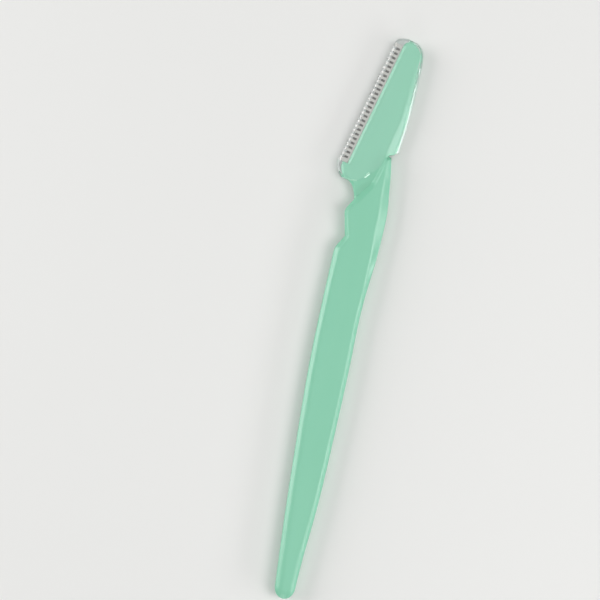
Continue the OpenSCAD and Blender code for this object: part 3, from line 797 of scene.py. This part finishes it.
def matt_board(finish):
    """Matt studio board, with the faint mottling of pressed paper. Its fibres are about 0.1 mm across, too
    fine to show, and are drawn 0.8 mm across."""
    material, tree = new_material("matt_board")
    mottle = stretched(tree, size=0.8 * MM, grain=1)
    fibre = node(tree, "ShaderNodeBump", inputs={"Height": mottle, "Strength": 0.05, "Distance": 0.05 * MM})
    shader = node(tree, "ShaderNodeBsdfPrincipled", inputs={
        "Base Color": (*finish.floor, 1), "Roughness": 0.9, "Specular IOR Level": 0.2,
        "Normal": fibre.outputs["Normal"]})
    node(tree, "ShaderNodeOutputMaterial", inputs={"Surface": shader.outputs["BSDF"]})
    return material


def layout_of(context):
    """The layout for the scene's sizes."""
    return Layout(context.scene.razor_handle, context.scene.razor_head)


class RAZOR_OT_handle(bpy.types.Operator):
    """Makes the moulded handle"""

    bl_idname = "razor.handle"
    bl_label = "Handle"

    def execute(self, context):
        piece = build_handle(layout_of(context))
        piece.data.materials.append(moulded_abs(context.scene.razor_finishes))
        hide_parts("handle")
        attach(piece, "razor")
        return {"FINISHED"}


class RAZOR_OT_steel(bpy.types.Operator):
    """Finishes the blade and its slotted guard"""

    bl_idname = "razor.steel"
    bl_label = "Blade and guard"

    def execute(self, context):
        finish, lean = context.scene.razor_finishes, context.scene.razor_head.edge_lean
        steels = {"blade": shaded_ground_stainless(finish, lean), "guard": rolled_stainless(finish, lean)}
        for name, steel in steels.items():
            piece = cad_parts[name]
            if not piece.material_slots:
                raise RuntimeError(f"{name} has no material slot")
            for slot in piece.material_slots:
                slot.material = steel
        return {"FINISHED"}


class RAZOR_OT_cover(bpy.types.Operator):
    """Makes the clear cover"""

    bl_idname = "razor.cover"
    bl_label = "Cover"

    def execute(self, context):
        scene = context.scene
        piece = build_cover(layout_of(context), scene.razor_cover)
        piece.data.materials.append(clear_polystyrene(scene.razor_finishes))
        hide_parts("cover")
        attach(piece, "cover")
        return {"FINISHED"}


# Pixels of the photograph: its middle, the end of the razor's tail, and its size
PICTURE_MIDDLE = Vector((300, 300))
TAIL_PIXEL = Vector((283.5, 598.5))
PICTURE_SIZE = 600

# Width of the camera's sensor in millimetres, size of the floor in metres, and how high up the tent's
# overhead light begins, where 1 is straight above
SENSOR_WIDTH = 36
FLOOR_SIZE = 3.0
OVERHEAD_FROM = 0.7

# Distance of the lamps in metres. Each has a name, a direction seen from above, an elevation in degrees, a
# width and a height in metres, and the setting that holds its share of the light.
LAMP_DISTANCE = 0.7
LAMPS = (
    ("left_softbox", (-0.08, -1), 23, (0.56, 0.44), "left_share"),
    ("right_softbox", (0.05, 1), 50, (0.3, 0.35), "right_share"),
    ("right_strip", (0.22, 1), 17, (0.6, 0.11), "strip_share"),
    ("tail_softbox", (1, 0), 20, (0.4, 0.3), "end_share"),
    ("tip_strip", (-1, 0.25), 17, (0.25, 0.1), "end_share"),
)


class RAZOR_OT_stage(bpy.types.Operator):
    """Makes the floor, the lamps and the camera"""

    bl_idname = "razor.stage"
    bl_label = "Floor, lamps and camera"

    def execute(self, context):
        scene = context.scene
        studio = scene.razor_studio
        self.floor(scene)
        self.tent(scene, studio)
        for name, towards, elevation, size, share in LAMPS:
            self.softbox(scene, name, towards, elevation, size, getattr(studio, share))
        self.camera(scene, studio)
        scene.view_settings.view_transform = "Standard"
        return {"FINISHED"}

    def floor(self, scene):
        """A level floor under the part."""
        half = FLOOR_SIZE / 2
        corners = [(x, y, 0) for x, y in ((-half, -half), (half, -half), (half, half), (-half, half))]
        floor = new_piece("floor", corners, [(0, 1, 2, 3)])
        floor.data.materials.append(matt_board(scene.razor_finishes))

    def tent(self, scene, studio):
        """Light from all round, as in a light tent that is lit from above."""
        world = bpy.data.worlds.new("light_tent")
        world.use_nodes = True
        tree = world.node_tree
        tree.nodes.clear()
        towards = node(tree, "ShaderNodeTexCoord").outputs["Generated"]
        rise = node(tree, "ShaderNodeSeparateXYZ", inputs={"Vector": towards}).outputs["Z"]
        level = node(tree, "ShaderNodeMapRange", inputs={"Value": rise, "From Min": OVERHEAD_FROM,
                                                         "To Min": studio.sides, "To Max": studio.overhead})
        light = node(tree, "ShaderNodeBackground", inputs={"Color": (1, 1, 1, 1),
                                                           "Strength": level.outputs["Result"]})
        node(tree, "ShaderNodeOutputWorld", inputs={"Surface": light.outputs["Background"]})
        scene.world = world

    def softbox(self, scene, name, towards, elevation, size, share):
        """A soft lamp that lights a level white surface by the given share."""
        rise = math.radians(elevation)
        level = Vector((*towards, 0)).normalized()
        place = (level * math.cos(rise) + Vector((0, 0, math.sin(rise)))) * LAMP_DISTANCE
        data = bpy.data.lights.new(name, "AREA")
        data.shape, (data.size, data.size_y) = "RECTANGLE", size
        data.energy = share * math.pi ** 2 * LAMP_DISTANCE ** 2 / math.sin(rise)
        lamp = bpy.data.objects.new(name, data)
        lamp.location = place
        lamp.rotation_euler = (-place).to_track_quat("-Z", "Y").to_euler()
        lamp.visible_camera = False
        scene.collection.objects.link(lamp)

    def camera(self, scene, studio):
        """A camera straight above, turned and placed as the photograph shows the razor."""
        lay = Layout(scene.razor_handle, scene.razor_head)
        cos, sin = math.cos(studio.picture_lean), math.sin(studio.picture_lean)
        away = (PICTURE_MIDDLE - TAIL_PIXEL) * studio.pixel
        middle = np.array([[away.x * sin - away.y * cos, away.x * cos + away.y * sin]])
        target = Vector(lay.place(middle, np.zeros(1))[0])
        data = bpy.data.cameras.new("camera")
        data.lens, data.sensor_width = studio.lens, SENSOR_WIDTH
        distance = PICTURE_SIZE / 2 * studio.pixel / (data.sensor_width / 2 / data.lens)
        camera = bpy.data.objects.new("camera", data)
        right, up = Vector((-sin, cos, 0)), Vector((-cos, -sin, 0))
        turn = Matrix((right, up, right.cross(up))).transposed().to_4x4()
        camera.matrix_world = Matrix.Translation(target + Vector((0, 0, distance))) @ turn
        data.clip_start, data.clip_end = 0.01, 20
        scene.collection.objects.link(camera)
        scene.camera = camera


class RAZOR_PT_panel(bpy.types.Panel):
    """The razor's pieces and sizes"""

    bl_label = "Eyebrow razor"
    bl_space_type = "VIEW_3D"
    bl_region_type = "UI"
    bl_category = "Razor"

    def draw(self, context):
        for operator, groups in STEPS:
            box = self.layout.box()
            box.operator(operator.bl_idname)
            for group in groups:
                settings = getattr(context.scene, group)
                for name in settings.bl_rna.properties.keys():
                    if name not in ("rna_type", "name"):
                        box.prop(settings, name)


GROUPS = {
    "razor_handle": HandleSizes,
    "razor_head": HeadSizes,
    "razor_cover": CoverSizes,
    "razor_finishes": Finishes,
    "razor_studio": StudioSettings,
}
STEPS = (
    (RAZOR_OT_stage, ("razor_studio", "razor_finishes")),
    (RAZOR_OT_handle, ("razor_handle",)),
    (RAZOR_OT_steel, ("razor_head",)),
    (RAZOR_OT_cover, ("razor_cover",)),
)


def register():
    """Registers the classes and the scene's settings."""
    for group in GROUPS.values():
        bpy.utils.register_class(group)
    for operator, _ in STEPS:
        bpy.utils.register_class(operator)
    bpy.utils.register_class(RAZOR_PT_panel)
    for name, group in GROUPS.items():
        setattr(bpy.types.Scene, name, PointerProperty(type=group))


def unregister():
    """Removes what register added."""
    for name in GROUPS:
        delattr(bpy.types.Scene, name)
    bpy.utils.unregister_class(RAZOR_PT_panel)
    for operator, _ in reversed(STEPS):
        bpy.utils.unregister_class(operator)
    for group in reversed(GROUPS.values()):
        bpy.utils.unregister_class(group)


def main():
    """Makes the stage and every piece."""
    register()
    bpy.ops.razor.stage()
    bpy.ops.razor.handle()
    bpy.ops.razor.steel()
    bpy.ops.razor.cover()


if __name__ == "__main__":
    main()
